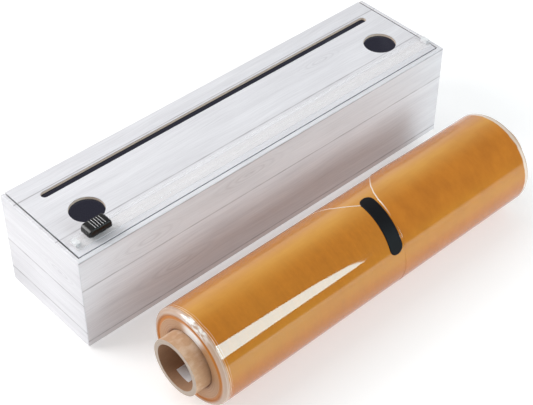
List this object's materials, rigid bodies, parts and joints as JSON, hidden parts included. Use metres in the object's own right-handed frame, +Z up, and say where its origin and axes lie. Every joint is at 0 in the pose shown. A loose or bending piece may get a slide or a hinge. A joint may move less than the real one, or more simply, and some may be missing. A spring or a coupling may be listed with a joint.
{
  "type": "cling film dispenser",
  "caption": "Long board box with an inset hinged lid, film slot, finger holes and a sliding cutter in a clear track, beside the roll of cling film that it holds.",
  "frame": {"origin": "middle of the rectangle of ground that the box and the roll in front of it cover", "axes": "+X along the box and the roll, away from the end where the cutter is parked; +Y from the roll to the box's hinged back; +Z up"},
  "size_m": [0.35, 0.2034, 0.0932],
  "materials": {
    "printed_paper": "pale printed plank pattern on smooth paper",
    "greyboard": "raw greyboard edges",
    "charcoal_card": "matt charcoal card",
    "foot_rubber": "matt black",
    "double_sided_tape": "translucent white tape",
    "clear_plastic": "clear extruded plastic",
    "black_plastic": "satin black moulding",
    "blade_steel": "thin steel plate",
    "kraft_core": "spiral wound kraft board",
    "amber_film": "glossy wound film, amber in bulk",
    "loose_film": "clear glossy film",
    "black_label": "plain black label",
    "white_label": "plain pale label"
  },
  "bodies": {
    "box": {"base_board": "greyboard", "front_wall": "greyboard", "back_wall": "greyboard", "left_end_wall": "greyboard", "right_end_wall": "greyboard", "box_wrap": "printed_paper", "base_paper": "printed_paper", "liner_floor": "charcoal_card", "liner_front": "charcoal_card", "liner_back": "charcoal_card", "liner_left": "charcoal_card", "liner_right": "charcoal_card", "rubber_feet": "foot_rubber", "hinge_paper": "printed_paper"},
    "lid": {"lid_board": "greyboard", "lid_lining": "charcoal_card", "lid_cover": "printed_paper", "track_tape": "double_sided_tape", "cutter_track": "clear_plastic", "track_stop_left": "clear_plastic", "track_stop_right": "clear_plastic"},
    "cutter": {"slider_cap": "black_plastic", "slider_foot": "black_plastic", "cutter_blade": "blade_steel"},
    "roll": {"core_tube": "kraft_core", "wound_film": "amber_film", "film_tail": "loose_film", "start_label": "black_label", "core_sticker": "white_label"}
  },
  "joints": [
    {"name": "lid_hinge", "type": "hinge", "parent": "box", "child": "lid", "pos_m": [0, 0.10172, 0.07885], "axis": [-1, 0, 0], "range_deg": [0, 178], "deforming": ["hinge_paper"]},
    {"name": "cutter_slide", "type": "slide", "parent": "lid", "child": "cutter", "axis": [1, 0, 0], "range_m": [-0.0097, 0.3102]},
    {"name": "roll_spin", "type": "hinge", "parent": "box", "child": "roll", "pos_m": [0, -0.06498, 0.03645], "axis": [1, 0, 0], "continuous": true}
  ]
}
